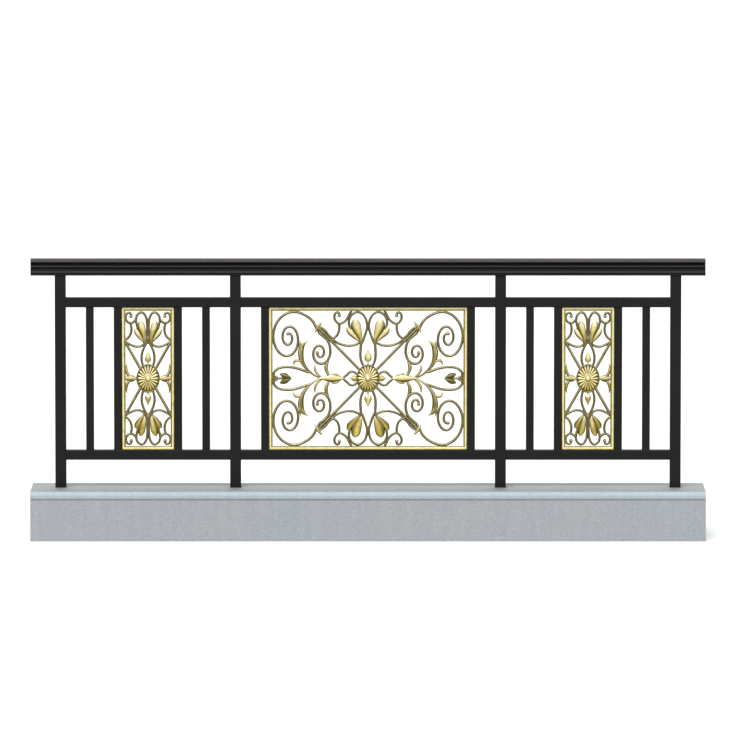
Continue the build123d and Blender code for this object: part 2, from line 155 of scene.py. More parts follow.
def makeSuns():
    for name, (bearing, height, strength, softness) in studio["suns"].items():
        data = bpy.data.lights.new(name, "SUN")
        data.energy = strength
        data.angle = math.radians(softness)
        turn = math.radians(bearing)
        rise = math.radians(height)
        towards = Vector((math.sin(turn) * math.cos(rise), -math.cos(turn) * math.cos(rise), math.sin(rise)))
        lamp = bpy.data.objects.new(name, data)
        lamp.rotation_euler = towards.to_track_quat("Z", "Y").to_euler()
        lamp.location = studio["lampDistance"] * towards
        bpy.context.scene.collection.objects.link(lamp)


bpy.context.scene.view_settings.view_transform = "Standard"
makeCamera()
makeFloor()
makeWorld()
makeSuns()
print("studio: camera, floor, sky and", len(studio["suns"]), "suns")


# Finishes

patterns = {
    "sand": {"Detail": 3.0, "Roughness": 0.65},
    "drift": {"Detail": 4.0, "Roughness": 0.55},
    "cloud": {"Detail": 5.0, "Roughness": 0.6},
    "pitScale": 0.6,           # against the sand's scale
    "pitDepth": 0.5,
    "cloudShare": (0.9, 0.5),  # how much a face-lean mask's thickness varies, and its least
}


def startGroup(name, inputs, outputs):
    group = bpy.data.node_groups.new(name, "ShaderNodeTree")
    group.interface.new_socket("Vector", in_out="INPUT", socket_type="NodeSocketVector")
    for label, value in inputs.items():
        socket = group.interface.new_socket(label, in_out="INPUT", socket_type="NodeSocketFloat")
        socket.default_value = value
    for label in outputs:
        group.interface.new_socket(label, in_out="OUTPUT", socket_type="NodeSocketFloat")
    entry = addNode(group, "NodeGroupInput", (-800, 0))
    leave = addNode(group, "NodeGroupOutput", (800, 0))
    return group, entry.outputs, leave.inputs


def makeGrainGroup():
    # fine sandy grain for bump, and slow drifting patches for colour and gloss
    group, entry, leave = startGroup("surfaceGrain", {"Grain": 900.0, "Patches": 8.0}, ("Height", "Patch"))
    place = entry["Vector"]
    sandValues = {"Vector": place, "Scale": entry["Grain"], **patterns["sand"]}
    sand = addNode(group, "ShaderNodeTexNoise", (-500, 200), sandValues)
    pitScale = mathNode(group, "MULTIPLY", (-700, -200), entry["Grain"], patterns["pitScale"])
    pits = addNode(group, "ShaderNodeTexVoronoi", (-500, -100), {"Vector": place, "Scale": pitScale})
    driftValues = {"Vector": place, "Scale": entry["Patches"], **patterns["drift"]}
    drift = addNode(group, "ShaderNodeTexNoise", (-500, -400), driftValues)
    dimple = mathNode(group, "MULTIPLY", (-250, -100), pits.outputs["Distance"], patterns["pitDepth"])
    feed(group, leave["Height"], mathNode(group, "ADD", (0, 100), sand.outputs["Fac"], dimple))
    feed(group, leave["Patch"], drift.outputs["Fac"])
    return group


def makeLeanMaskGroup():
    # a mask on faces turned upwards, or on those turned down, thicker in patches: it carries dust, painted
    # highlights and painted shade
    inputs = {"Amount": 0.3, "Patches": 22.0, "Start": 0.35, "Full": 0.95}
    group, entry, leave = startGroup("settledDust", inputs, ("Mask",))
    shape = addNode(group, "ShaderNodeNewGeometry", (-700, 250))
    split = addNode(group, "ShaderNodeSeparateXYZ", (-500, 250), {0: shape.outputs["Normal"]})
    level = smoothStep(group, (-300, 250), split.outputs["Z"], entry["Start"], entry["Full"])
    cloudValues = {"Vector": entry["Vector"], "Scale": entry["Patches"], **patterns["cloud"]}
    cloud = addNode(group, "ShaderNodeTexNoise", (-500, -150), cloudValues)
    thick = mathNode(group, "MULTIPLY_ADD", (-250, -150), cloud.outputs["Fac"], *patterns["cloudShare"])
    patchy = mathNode(group, "MULTIPLY", (0, 100), level, thick)
    feed(group, leave["Mask"], mathNode(group, "MULTIPLY", (250, 100), patchy, entry["Amount"], clamp=True))
    return group


def smoothStep(tree, at, value, start, full):
    # 0 up to start, 1 from full on, with a soft change between them
    values = {"Value": value, "From Min": start, "From Max": full}
    return addNode(tree, "ShaderNodeMapRange", at, values, interpolation_type="SMOOTHSTEP").outputs["Result"]


def stretch(tree, at, value, low, high):
    # stretches a 0 to 1 value between two limits
    values = {"Value": value, "To Min": low, "To Max": high}
    return addNode(tree, "ShaderNodeMapRange", at, values).outputs["Result"]


def mixColour(tree, at, factor, first, second):
    node = addNode(tree, "ShaderNodeMix", at, data_type="RGBA")
    for index, value in ((0, factor), (6, first), (7, second)):  # the colour sockets among the mix's many
        feed(tree, node.inputs[index], value)
    return node.outputs[2]


grainGroup = makeGrainGroup()
leanMaskGroup = makeLeanMaskGroup()


def startMaterial(name):
    material = bpy.data.materials.new(name)
    material.use_nodes = True
    tree = material.node_tree
    place = addNode(tree, "ShaderNodeTexCoord", (-1400, 0))
    return material, tree, place.outputs["Object"]


def addGrain(tree, place, look):
    values = {"Vector": place, "Grain": look["grain"], "Patches": look["patches"]}
    return addNode(tree, "ShaderNodeGroup", (-1100, 100), values, node_tree=grainGroup).outputs


def addLeanMask(tree, at, place, look, amount, lean):
    start, full = lean
    values = {"Vector": place, "Amount": amount, "Patches": look["dustPatches"], "Start": start, "Full": full}
    return addNode(tree, "ShaderNodeGroup", at, values, node_tree=leanMaskGroup).outputs["Mask"]


def finishSurface(tree, look, colour, dullness, height):
    # what every finish sets on its shader
    shader = tree.nodes["Principled BSDF"]
    feed(tree, shader.inputs["Base Color"], colour)
    feed(tree, shader.inputs["Roughness"], stretch(tree, (-450, 0), dullness, *look["gloss"]))
    shader.inputs["Specular IOR Level"].default_value = look["mirror"]
    shader.inputs["Metallic"].default_value = look["metal"]
    bumpValues = {"Height": height, "Strength": look["grainStrength"], "Distance": look["grainHeight"]}
    bump = addNode(tree, "ShaderNodeBump", (-300, -300), bumpValues)
    feed(tree, shader.inputs["Normal"], bump.outputs["Normal"])


blackCoatLook = {
    "deep": (0.0132, 0.0132, 0.0130, 1),
    "worn": (0.0196, 0.0194, 0.0188, 1),
    # colour on faces turned up: dust on the tubes, and on the handrail mostly a painted reflection of the sky
    "dust": (0.150, 0.128, 0.126, 1),
    "dustAmount": {"tube": 0.06, "handrail": 0.40},
    "dustLean": (0.35, 0.95),  # upward lean of a face at which dust, and on the handrail a painted sky reflection, set in, and are full
    "dustPatches": 26.0,
    # near-black colour for painted shade on faces turned down
    "grime": (0.0012, 0.0012, 0.0012, 1),
    "grimeAmount": 0.9,
    "grimeLean": (-0.05, -0.5),  # downward lean of a face at which the painted shade sets in, and is darkest
    "gloss": (0.38, 0.52),     # roughness from the glossiest to the dullest patch
    "mirror": 0.045,
    "metal": 0.0,
    "patches": 6.0,
    "grain": 1500.0,
    "grainStrength": 0.35,
    "grainHeight": 0.00012,
}


def makeBlackCoat(use):
    look = blackCoatLook
    material, tree, place = startMaterial(use + "BlackCoat")
    grain = addGrain(tree, place, look)
    dust = addLeanMask(tree, (-1100, -200), place, look, look["dustAmount"][use], look["dustLean"])
    grime = addLeanMask(tree, (-1100, -500), place, look, look["grimeAmount"], look["grimeLean"])
    paint = mixColour(tree, (-900, 300), grain["Patch"], look["deep"], look["worn"])
    # painted shade on faces turned down
    underShaded = mixColour(tree, (-700, 200), grime, paint, look["grime"])
    # dust on faces turned up, with a painted sky reflection on the handrail
    topToned = mixColour(tree, (-450, 200), dust, underShaded, look["dust"])
    finishSurface(tree, look, topToned, grain["Patch"], grain["Height"])
    return material


giltLook = {
    "gold": (0.45, 0.33, 0.050, 1),
    "rubbed": (0.82, 0.70, 0.28, 1),
    # dark colour for patina in the hollows and for painted shade
    "patina": (0.088, 0.066, 0.006, 1),
    # pale colour on faces turned up: wear, and a painted highlight from the light above
    "dust": (0.95, 0.90, 0.58, 1),
    "dustAmount": 0.80,
    "dustLean": (-0.08, 0.22),  # upward lean of a face at which the pale wear and painted highlight set in, and are full
    "dustInHollows": -1.35,    # how much less of it lies in the hollows
    "dustPatches": 40.0,
    "grimeAmount": 0.8,
    "grimeLean": (-0.10, -0.75),  # downward lean of a face at which the painted shade sets in, and is full
    "crest": 0.16,             # darkness below which the gold is rubbed bright
    "shade": (0.08, 0.52),     # darkness at which the patina and painted shade set in, and are full
    "ragged": (0.32, -0.14),   # how far patches move those limits
    "gloss": (0.30, 0.48),
    "mirror": 0.25,
    "metal": 0.40,
    "patches": 34.0,
    "grain": 1100.0,
    "grainStrength": 0.4,
    "grainHeight": 0.00018,
}


def makeGilt():
    look = giltLook
    material, tree, place = startMaterial("giltCasting")
    grain = addGrain(tree, place, look)
    dust = addLeanMask(tree, (-1100, -250), place, look, look["dustAmount"], look["dustLean"])
    grime = addLeanMask(tree, (-1100, -550), place, look, look["grimeAmount"], look["grimeLean"])
    # how dark each point is: patina in the hollows, and painted shade on the scrolls' sides and the leaves'
    # leaning edges
    recess = addNode(tree, "ShaderNodeAttribute", (-1100, 400), attribute_name="recess")
    ragged = mathNode(tree, "MULTIPLY_ADD", (-900, 400), grain["Patch"], *look["ragged"])
    darkLevel = mathNode(tree, "ADD", (-700, 400), recess.outputs["Fac"], ragged, clamp=True)
    crest = smoothStep(tree, (-700, 650), darkLevel, look["crest"], 0.0)
    shade = smoothStep(tree, (-500, 400), darkLevel, *look["shade"])
    gold = mixColour(tree, (-450, 650), crest, look["gold"], look["rubbed"])
    agedAndShaded = mixColour(tree, (-250, 500), shade, gold, look["patina"])
    # painted shade on faces turned down, in the patina colour
    underShaded = mixColour(tree, (-50, 650), grime, agedAndShaded, look["patina"])
    # pale wear and painted highlight on faces turned up, less of it in the hollows, mixed into the final
    # colour
    bare = mathNode(tree, "MULTIPLY_ADD", (-450, 250), darkLevel, look["dustInHollows"], 1.0, clamp=True)
    pale = mathNode(tree, "MULTIPLY", (-250, 250), dust, bare)
    worn = mixColour(tree, (-50, 450), pale, underShaded, look["dust"])
    finishSurface(tree, look, worn, darkLevel, grain["Height"])
    return material


stoneLook = {
    "cool": (0.312, 0.342, 0.374, 1),
    "warm": (0.358, 0.360, 0.366, 1),
    "dark": (0.17, 0.19, 0.21, 1),
    "light": (0.56, 0.60, 0.63, 1),
    # paler, bluer colour: painted light from the sky on faces turned towards it, and partly on the coping's
    # front
    "washed": (0.400, 0.480, 0.535, 1),
    "washedAmount": 0.85,
    "washedLean": {"wall": (0.06, 0.42), "coping": (-0.35, 0.25)},  # lean of a face that takes the painted sky light
    # darker colour on the tops: dust and painted shade
    "dust": (0.245, 0.262, 0.262, 1),
    "dustAmount": 1.15,
    "dustLean": (0.86, 0.995),
    "dustPatches": 7.0,
    "crystal": 300.0,          # crystals are a little over 3 mm across
    "flecks": {"From Min": 0.78, "From Max": 0.98, "To Max": 0.38},
    "mica": {"From Min": 0.82, "From Max": 0.99, "To Max": 0.42},
    "streaks": (34.0, 34.0, 2.2),
    "streakDetail": 3.0,
    "streakTone": (0.92, 1.07),
    "gloss": (0.52, 0.72),
    "mirror": 0.4,
    "metal": 0.0,
    "patches": 3.2,
    "grain": 420.0,
    "grainStrength": 0.3,
    "grainHeight": 0.0006,
}


def makeStone(use):
    look = stoneLook
    material, tree, place = startMaterial(use + "Stone")
    grain = addGrain(tree, place, look)
    dust = addLeanMask(tree, (-1100, -250), place, look, look["dustAmount"], look["dustLean"])
    # painted sky light on faces turned up
    washed = addLeanMask(tree, (-1100, -550), place, look, look["washedAmount"], look["washedLean"][use])
    body = mixColour(tree, (-900, 200), grain["Patch"], look["cool"], look["warm"])
    ground = mixColour(tree, (-700, 200), washed, body, look["washed"])
    crystalValues = {"Vector": place, "Scale": look["crystal"]}
    crystal = addNode(tree, "ShaderNodeTexVoronoi", (-1100, 500), crystalValues)
    pick = addNode(tree, "ShaderNodeSeparateXYZ", (-900, 500), {0: crystal.outputs["Color"]})
    flecks = addNode(tree, "ShaderNodeMapRange", (-700, 500), {"Value": pick.outputs["X"], **look["flecks"]})
    mica = addNode(tree, "ShaderNodeMapRange", (-700, 750), {"Value": pick.outputs["Y"], **look["mica"]})
    pale = mixColour(tree, (-450, 300), flecks.outputs["Result"], ground, look["light"])
    speckled = mixColour(tree, (-250, 300), mica.outputs["Result"], pale, look["dark"])
    run = addNode(tree, "ShaderNodeMapping", (-1100, 800), {"Vector": place, "Scale": look["streaks"]})
    streakValues = {"Vector": run.outputs[0], "Scale": 1.0, "Detail": look["streakDetail"]}
    streak = addNode(tree, "ShaderNodeTexNoise", (-900, 800), streakValues)
    tone = stretch(tree, (-450, 800), streak.outputs["Fac"], *look["streakTone"])
    toneValues = {0: speckled, "Scale": tone}
    toned = addNode(tree, "ShaderNodeVectorMath", (-100, 500), toneValues, operation="SCALE")
    # darker tops: dust and painted shade
    topToned = mixColour(tree, (100, 400), dust, toned.outputs[0], look["dust"])
    finishSurface(tree, look, topToned, grain["Patch"], grain["Height"])
    return material


blackCoat = makeBlackCoat("tube")
handrailCoat = makeBlackCoat("handrail")
giltCasting = makeGilt()
wallStone = makeStone("wall")
copingStone = makeStone("coping")
print("finishes: black coat, gilt casting and stone")


# Shared shape tools

weld = 0.000002                # metres under which two points are one
sharpAngles = {"bar": 42, "leaf": 60, "border": 38}  # degrees from which an edge stays crisp


def finishMesh(mesh, kind):
    shape = bmesh.new()
    shape.from_mesh(mesh)
    bmesh.ops.remove_doubles(shape, verts=shape.verts, dist=weld)
    bmesh.ops.recalc_face_normals(shape, faces=shape.faces)
    shape.to_mesh(mesh)
    shape.free()
    mesh.polygons.foreach_set("use_smooth", [True] * len(mesh.polygons))
    mesh.set_sharp_from_angle(angle=math.radians(sharpAngles[kind]))


def addObject(name, data):
    piece = bpy.data.objects.new(name, data)
    bpy.context.scene.collection.objects.link(piece)
    return piece


def dress(piece, material, slot, *nodeNames):
    if not piece.data.materials:
        piece.data.materials.append(material)
    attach(piece, "root")
    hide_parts(*nodeNames)


def settle(piece):
    # turns live modifiers into a plain mesh
    graph = bpy.context.evaluated_depsgraph_get()
    mesh = bpy.data.meshes.new_from_object(piece.evaluated_get(graph))
    piece.modifiers.clear()
    piece.data = mesh
    mesh.name = piece.name


def bevelEdges(piece, name, width, segments, angle):
    trim = piece.modifiers.new(name, "BEVEL")
    trim.width = width
    trim.segments = segments
    trim.limit_method = "ANGLE"
    trim.angle_limit = math.radians(angle)
    return trim


def blend(first, second, share):
    return first + (second - first) * share


def arc(middle, radius, start, end, steps):
    points = []
    for i in range(steps + 1):
        angle = math.radians(start + (end - start) * i / steps)
        points.append((middle[0] + radius * math.cos(angle), middle[1] + radius * math.sin(angle)))
    return points


def alongX(y, z, x):
    return (x, y, z)


def alongZ(x, y, z):
    return (x, y, z)


def prism(name, outline, place, start, end):
    count = len(outline)
    points = [place(a, b, end) for a, b in outline]
    points += [place(a, b, start) for a, b in outline]
    faces = [(i, (i + 1) % count, count + (i + 1) % count, count + i) for i in range(count)]
    faces.append(tuple(range(count)))
    faces.append(tuple(reversed(range(count, 2 * count))))
    mesh = bpy.data.meshes.new(name)
    mesh.from_pydata(points, [], faces)
    finishMesh(mesh, "bar")
    return addObject(name, mesh)


# Square tubes: posts, rails, pickets and stiles

tube = {
    "postCorner": 4.6 * mm,
    "railCorner": 4.2 * mm,
    "picketCorner": 4.2 * mm,
    "cornerSteps": 6,
    "holdWidth": 0.7 * mm,     # narrow strip beside each rounded corner that keeps the flats flat
}


def tubeOutline(middle, width, depth, corner):
    points = []
    for quarter, (signX, signY) in enumerate(((1, 1), (-1, 1), (-1, -1), (1, -1))):
        pivot = (middle[0] + signX * (width / 2 - corner), middle[1] + signY * (depth / 2 - corner))
        start = math.radians(90 * quarter)
        bend = arc(pivot, corner, 90 * quarter, 90 * quarter + 90, tube["cornerSteps"])
        along = Vector((-math.sin(start), math.cos(start))) * tube["holdWidth"]
        points.append((bend[0][0] - along.x, bend[0][1] - along.y))
        points += bend
        points.append((bend[-1][0] - along.y, bend[-1][1] + along.x))
    return points


def camelName(nodeName):
    first, *rest = nodeName.split("_")
    return first + "".join(word.capitalize() for word in rest)


def makeUpright(nodeName, corner):
    low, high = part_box(nodeName)
    middle = (low + high) / 2
    outline = tubeOutline((middle.x, middle.y), high.x - low.x, high.y - low.y, corner)
    piece = prism(camelName(nodeName), outline, alongZ, low.z, high.z)
    dress(piece, blackCoat, "black_coat", nodeName)


def makeCrossbar(nodeName, corner):
    low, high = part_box(nodeName)
    middle = (low + high) / 2
    outline = tubeOutline((middle.y, middle.z), high.y - low.y, high.z - low.z, corner)
    piece = prism(camelName(nodeName), outline, alongX, low.x, high.x)
    dress(piece, blackCoat, "black_coat", nodeName)


tubeNames = [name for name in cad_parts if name.split("_")[0] in ("post", "picket", "stile")]
railNames = [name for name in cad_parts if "_rail_" in name]
for nodeName in tubeNames:
    makeUpright(nodeName, tube["postCorner"] if nodeName.startswith("post") else tube["picketCorner"])
for nodeName in railNames:
    makeCrossbar(nodeName, tube["railCorner"])
print("tubes:", len(tubeNames), "uprights and", len(railNames), "rails")


# Handrail: a moulded hollow cover clipped over a flat carrier

handrail = {
    "wall": 2.5,               # mm, as are all sizes here
    "halfWidth": 38.0,
    "height": 77.0,
    "crownDrop": 14.0,
    "nose": 1.6,               # rounding of the crown's outer edge
    "noseStart": -70,          # degrees, where that rounding meets the bevel
    "bevel": 2.0,              # height of the bevel under the crown's edge
    "shoulder": 57.0,          # underside of the crown
    "waist": 26.0,
    "beadMiddle": 39.0,
    "beadRadius": 6.0,
    "ogeeTop": 26.0,
    "lip": 35.0,
    "lipInset": 3.0,           # how far the cove and the foot end short of the crown's edge
    "lipTop": 15.0,
    "lipRound": 0.8,
    "foot": 12.0,
    "slot": 20.8,              # half width of the slot for the carrier's webs
    "curveSteps": 10,
    "endRound": 0.5,
    "endSegments": 2,
    "endAngle": 62,            # degrees from which an edge of the cut end is rounded
    "carrierRound": 1.6,
    "carrierSteps": 5,
    "carrierWeb": 18.0,
}


def crownArc(halfWidth, top, drop, steps):
    radius = (halfWidth ** 2 + drop ** 2) / (2 * drop)
    reach = math.degrees(math.asin(halfWidth / radius))
    return arc((0, top - radius), radius, 90 - reach, 90, steps)


def ovalQuarter(corner, sizeY, sizeZ):
    # a hollow quarter oval that leaves the corner upright and ends flat, sizeY out and sizeZ up
    points = []
    for i in range(handrail["curveSteps"] + 1):
        angle = math.pi / 2 * i / handrail["curveSteps"]
        points.append((corner[0] + sizeY * (1 - math.cos(angle)), corner[1] + sizeZ * math.sin(angle)))
    return points


def coverHalf():
    # the right half of the cover's outside, from the slot round to the middle of the crown
    size = handrail
    lip = size["lip"]
    foot = size["foot"]
    lipTop = size["lipTop"]
    lipRound = size["lipRound"]
    waist = size["waist"]
    run = [(size["slot"], foot), (lip - lipRound, foot), (lip, foot + lipRound), (lip, lipTop - lipRound)]
    ogee = ovalQuarter((waist, size["ogeeTop"]), lip - lipRound / 2 - waist, lipTop - size["ogeeTop"])
    run += reversed(ogee)
    run += arc((waist, size["beadMiddle"]), size["beadRadius"], -90, 90, size["curveSteps"])
    beadTop = size["beadMiddle"] + size["beadRadius"]
    coveReach = size["halfWidth"] - size["lipInset"] - waist
    run += ovalQuarter((waist, beadTop), coveReach, size["shoulder"] - beadTop)[1:]
    noseMiddle = (size["halfWidth"] - size["nose"], size["shoulder"] + size["bevel"] + size["nose"])
    run += arc(noseMiddle, size["nose"], size["noseStart"], 0, size["curveSteps"])
    return run + crownArc(size["halfWidth"], size["height"], size["crownDrop"], 2 * size["curveSteps"])


def hollowHalf():
    # the right half of the inside, from the middle of the crown back to the slot
    size = handrail
    wall = size["wall"]
    half = size["halfWidth"] - wall
    inner = size["waist"] - wall
    top = size["height"] - wall
    shoulder = size["shoulder"] + wall
    run = list(reversed(crownArc(half, top, top - shoulder, size["curveSteps"])))
    run += [(inner, size["shoulder"] - wall), (inner, size["ogeeTop"] - wall)]
    return run + [(half - 2 * size["lipInset"], size["foot"] + wall), (size["slot"], size["foot"] + wall)]


def mirroredRun(run):
    return [(-a, b) for a, b in reversed(run)]


def makeHandrail():
    low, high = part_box("handrail_cover")
    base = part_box("handrail_carrier")[0].z
    outside = coverHalf()
    inside = hollowHalf()
    section = outside + mirroredRun(outside)[1:] + mirroredRun(inside) + inside[1:]
    outline = [(y * mm, base + z * mm) for y, z in section]
    cover = prism("handrailCover", outline, alongX, low.x, high.x)
    bevelEdges(cover, "endRound", handrail["endRound"] * mm, handrail["endSegments"], handrail["endAngle"])
    settle(cover)
    dress(cover, handrailCoat, "black_coat", "handrail_cover")


def makeCarrier():
    low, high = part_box("handrail_carrier")
    half = (high.y - low.y) / 2
    corner = handrail["carrierRound"] * mm
    flat = low.z + handrail["foot"] * mm
    web = handrail["carrierWeb"] * mm
    wall = handrail["wall"] * mm / 2
    outline = arc((half - corner, low.z + corner), corner, -90, 0, handrail["carrierSteps"])
    outline += [(half, flat), (web + wall, flat), (web + wall, high.z)]
    outline += [(web - wall, high.z), (web - wall, flat)]
    outline += mirroredRun(outline)
    carrier = prism("handrailCarrier", outline, alongX, low.x, high.x)
    dress(carrier, handrailCoat, "black_coat", "handrail_carrier")


makeHandrail()
makeCarrier()
print("handrail: cover and carrier")


# Stone plinth

plinth = {
    "arris": 2.5 * mm,         # softened edges of the blocks
    "arrisSegments": 3,
    "arrisAngle": 50,          # degrees from which an edge is softened
    "nosing": 24.0 * mm,
    "undercut": 8.0 * mm,      # rounding of the coping's lower long edges
    "nosingSteps": 18,
    "pocket": 51.0 * mm,
    "pocketReach": 20.0 * mm,  # how far the pocket cutter stands above the coping
}


def makePockets():
    # one block for each post, joined into a single cutter
    cutter = bmesh.new()
    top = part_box("plinth_coping")[1].z + plinth["pocketReach"]
    for nodeName in tubeNames:
        if nodeName.startswith("post"):
            low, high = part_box(nodeName)
            made = bmesh.ops.create_cube(cutter, size=1.0)["verts"]
            bmesh.ops.scale(cutter, verts=made, vec=(plinth["pocket"], plinth["pocket"], top - low.z))
            bmesh.ops.translate(cutter, verts=made, vec=((low.x + high.x) / 2, 0, (low.z + top) / 2))
    mesh = bpy.data.meshes.new("pocketCutter")
    cutter.to_mesh(mesh)
    cutter.free()
    return addObject("pocketCutter", mesh)


def cutStone(block, cutter):
    soften = bevelEdges(block, "arris", plinth["arris"], plinth["arrisSegments"], plinth["arrisAngle"])
    soften.harden_normals = True
    pockets = block.modifiers.new("pockets", "BOOLEAN")
    pockets.operation = "DIFFERENCE"
    pockets.object = cutter
    settle(block)


def makePlinth():
    cutter = makePockets()
    low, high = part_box("plinth_wall")
    outline = [(low.y, low.z), (high.y, low.z), (high.y, high.z), (low.y, high.z)]
    wall = prism("plinthWall", outline, alongX, low.x, high.x)
    cutStone(wall, cutter)
    dress(wall, wallStone, "stone", "plinth_wall")
    low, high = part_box("plinth_coping")
    nosing = plinth["nosing"]
    undercut = plinth["undercut"]
    outline = arc((high.y - undercut, low.z + undercut), undercut, -90, 0, plinth["nosingSteps"])
    outline += arc((high.y - nosing, high.z - nosing), nosing, 0, 90, plinth["nosingSteps"])
    outline += [(low.y + high.y - y, z) for y, z in reversed(outline)]
    coping = prism("plinthCoping", outline, alongX, low.x, high.x)
    cutStone(coping, cutter)
    dress(coping, copingStone, "stone", "plinth_coping")
    bpy.data.objects.remove(cutter)


makePlinth()
print("plinth: wall and coping")


# Cast panels. A quarter is drawn on a grid of squares from the panel's middle to its border.

casting = {
    "border": 17.0,            # mm, as are all sizes here
    "scrollWidth": 13.0,
    "fineWidth": 11.6,
    "knob": 8.2,               # radius of the ball that ends a scroll
    "knobDepth": 7.5,
    "knobTone": 0.32,
    "knobPole": 0.02,          # share of a ring that keeps the ball's poles open
    "lineSteps": 10,           # steps of a scroll's line between two knots
    "scrollStep": 4.0,         # spacing of the rings along a scroll
    "scrollSides": 12,
    "scrollDepth": 1.08,       # depth of a scroll as a share of its width
    "bareDepth": 11.5,         # depth at which a scroll's painted shade would run out to bare gold; deeper than the scrolls, so even their fronts stay partly shaded
    "thinnest": 0.6,
    "swell": (0.08, 0.98),     # part of a half wave that a leaf's height follows from end to end
    "swellPower": 0.8,         # under 1 makes the leaf fuller
    "endHeight": 0.30,         # height of a leaf at its ends, as a share of its height in the middle
    "rimHeight": 0.34,         # and along its edges
    "ribWidth": 0.2,           # share of half the leaf's width
    "fluteDepth": 0.14,        # share of a petal's height
    "fluteFade": 0.5,          # how suddenly flutes run out at the leaf's ends
    "fluteShade": 0.30,
    "edgeShade": 0.85,
    "farEdgeShade": 0.50,      # on the side that a leaning petal turns away from
    "edgeSharpness": 4,        # how close to its edge a leaf turns dark
    "leanSharpness": 1.7,      # the same on the side that a leaning petal leans to
}


def makeGrid(nodeName, squaresX, squaresZ):
    low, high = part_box(nodeName)
    sizeX = ((high.x - low.x) / 2 - casting["border"] * mm) / squaresX
    sizeZ = ((high.z - low.z) / 2 - casting["border"] * mm) / squaresZ
    return lambda x, z: (x * sizeX, z * sizeZ)


def volute(middle, radii, start, halfTurns, shrink, step=20):
    # grid points on an oval spiral whose radius is multiplied by shrink in each half turn
    turn = math.copysign(step, halfTurns)
    points = []
    for i in range(round(abs(halfTurns) * 180 / step) + 1):
        angle = math.radians(start + i * turn)
        size = shrink ** (i * step / 180)
        x = middle[0] + radii[0] * size * math.cos(angle)
        z = middle[1] + radii[1] * size * math.sin(angle)
        points.append((x, z))
    return points


def smoothBetween(a, b, c, d, t):
    # from b at t = 0 to c at t = 1, heading as the neighbours a and d ask
    bend = a - 2.5 * b + 2 * c - d / 2
    twist = 1.5 * (b - c) + (d - a) / 2
    return b + t * (c - a) / 2 + t * t * bend + t ** 3 * twist


def smoothRun(knots, steps):
    # a smooth run through the knots, with so many steps in each gap
    first = tuple(2 * a - b for a, b in zip(knots[0], knots[1]))
    last = tuple(2 * a - b for a, b in zip(knots[-1], knots[-2]))
    chain = [first, *knots, last]
    run = []
    for p, q, r, s in zip(chain, chain[1:], chain[2:], chain[3:]):
        for j in range(steps):
            run.append(tuple(smoothBetween(*values, j / steps) for values in zip(p, q, r, s)))
    run.append(tuple(knots[-1]))
    return run


def scrollLines(name, grid, lines):
    # one smooth curve object with a spline for each scroll, drawn flat
    curve = bpy.data.curves.new(name, "CURVE")
    curve.dimensions = "3D"
    for points, startWidth, endWidth, _ in lines:
        spline = curve.splines.new("BEZIER")
        spline.resolution_u = casting["lineSteps"]
        spline.bezier_points.add(len(points) - 1)
        for i, (knot, place) in enumerate(zip(spline.bezier_points, points)):
            knot.co = (*grid(*place), 0)
            knot.handle_left_type = "AUTO"
            knot.handle_right_type = "AUTO"
            knot.radius = blend(startWidth, endWidth, i / (len(points) - 1)) / 2 * mm
    return addObject(name, curve)


def darknessMesh(name, points, faces, recess, kind):
    # a mesh that knows how dark each of its points is: patina in its hollows, and painted shade
    mesh = bpy.data.meshes.new(name)
    mesh.from_pydata(points, [], faces)
    values = mesh.attributes.new("recess", "FLOAT", "POINT")
    values.data.foreach_set("value", recess)
    finishMesh(mesh, kind)
    return mesh


class Relief:
    # gathers leaves, petals and knobs into one mesh

    def __init__(self):
        self.points = []
        self.faces = []
        self.recess = []

    def addRings(self, rings):
        # rings of (point, darkness), skinned one to the next and closed at both ends
        base = len(self.points)
        count = len(rings[0])
        for ring in rings:
            for point, recess in ring:
                self.points.append(point)
                self.recess.append(recess)
        for k in range(len(rings) - 1):
            for i in range(count):
                a = base + k * count + i
                b = base + k * count + (i + 1) % count
                self.faces.append((a, b, b + count, a + count))
        self.faces.append(tuple(base + i for i in reversed(range(count))))
        self.faces.append(tuple(base + (len(rings) - 1) * count + i for i in range(count)))

    def mesh(self, name):
        return darknessMesh(name, self.points, self.faces, self.recess, "leaf")


